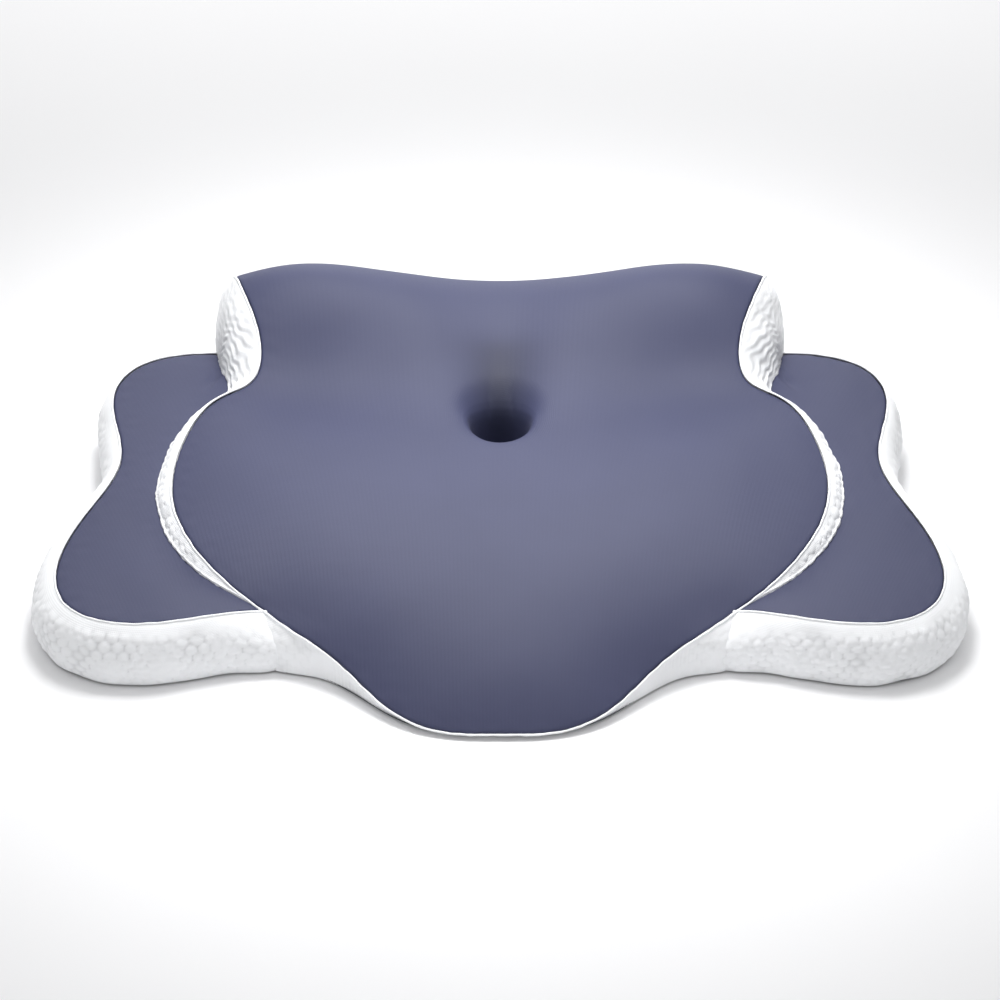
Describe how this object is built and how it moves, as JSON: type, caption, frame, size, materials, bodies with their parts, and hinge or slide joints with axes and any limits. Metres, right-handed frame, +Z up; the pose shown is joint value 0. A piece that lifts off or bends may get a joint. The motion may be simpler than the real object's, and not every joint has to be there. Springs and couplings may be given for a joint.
{
  "type": "butterfly neck pillow",
  "caption": "Contoured foam pillow with a tall neck bolster, a vent well, low side wings and a removable zipped cover.",
  "frame": {"origin": "middle of the footprint's box, on the surface that the pillow lies on", "axes": "+X across the pillow from wing to wing, +Y from the nose to the neck bolster and its zip, +Z up"},
  "size_m": [0.6386, 0.3991, 0.1257],
  "materials": {
    "foam": "open-cell memory foam, matt",
    "liner": "thin white knit sock",
    "cool_knit": "slate-blue fine stretch knit with a soft sheen",
    "puff_jacquard": "white quilted jacquard with small raised puffs",
    "base_cloth": "dark slate woven base cloth, matt",
    "zip_tape": "white woven zip tape",
    "zip_nylon": "white nylon coil",
    "zip_metal": "light grey enamelled slider",
    "label_satin": "blank white satin"
  },
  "bodies": {
    "pillow": {"foam_core": "foam", "inner_liner_upper": "liner", "inner_liner_lower": "liner", "centre_top_panel": "cool_knit", "centre_side_band_left": "puff_jacquard", "centre_side_band_right": "puff_jacquard", "nose_band": "puff_jacquard", "back_band_upper": "puff_jacquard", "back_band_lower": "puff_jacquard", "wing_top_panel_left": "cool_knit", "wing_top_panel_right": "cool_knit", "wing_side_band_left": "puff_jacquard", "wing_side_band_right": "puff_jacquard", "bottom_panel": "base_cloth", "well_lining": "cool_knit", "zipper_tape_upper": "zip_tape", "zipper_tape_lower": "zip_tape", "zipper_chain_upper": "zip_nylon", "zipper_chain_lower": "zip_nylon", "zipper_end_stops": "zip_metal", "care_label": "label_satin"},
    "slider": {"zipper_slider": "zip_metal"},
    "pull_tab": {"zipper_pull_tab": "zip_metal"}
  },
  "joints": [
    {"name": "zip_slide", "type": "slide", "parent": "pillow", "child": "slider", "axis": [1, 0, 0], "range_m": [-0.325, 0]},
    {"name": "pull_tab_swing", "type": "hinge", "parent": "slider", "child": "pull_tab", "pos_m": [0.16, 0.2005, 0.028], "axis": [0, 0, -1], "range_deg": [0, 180]}
  ]
}
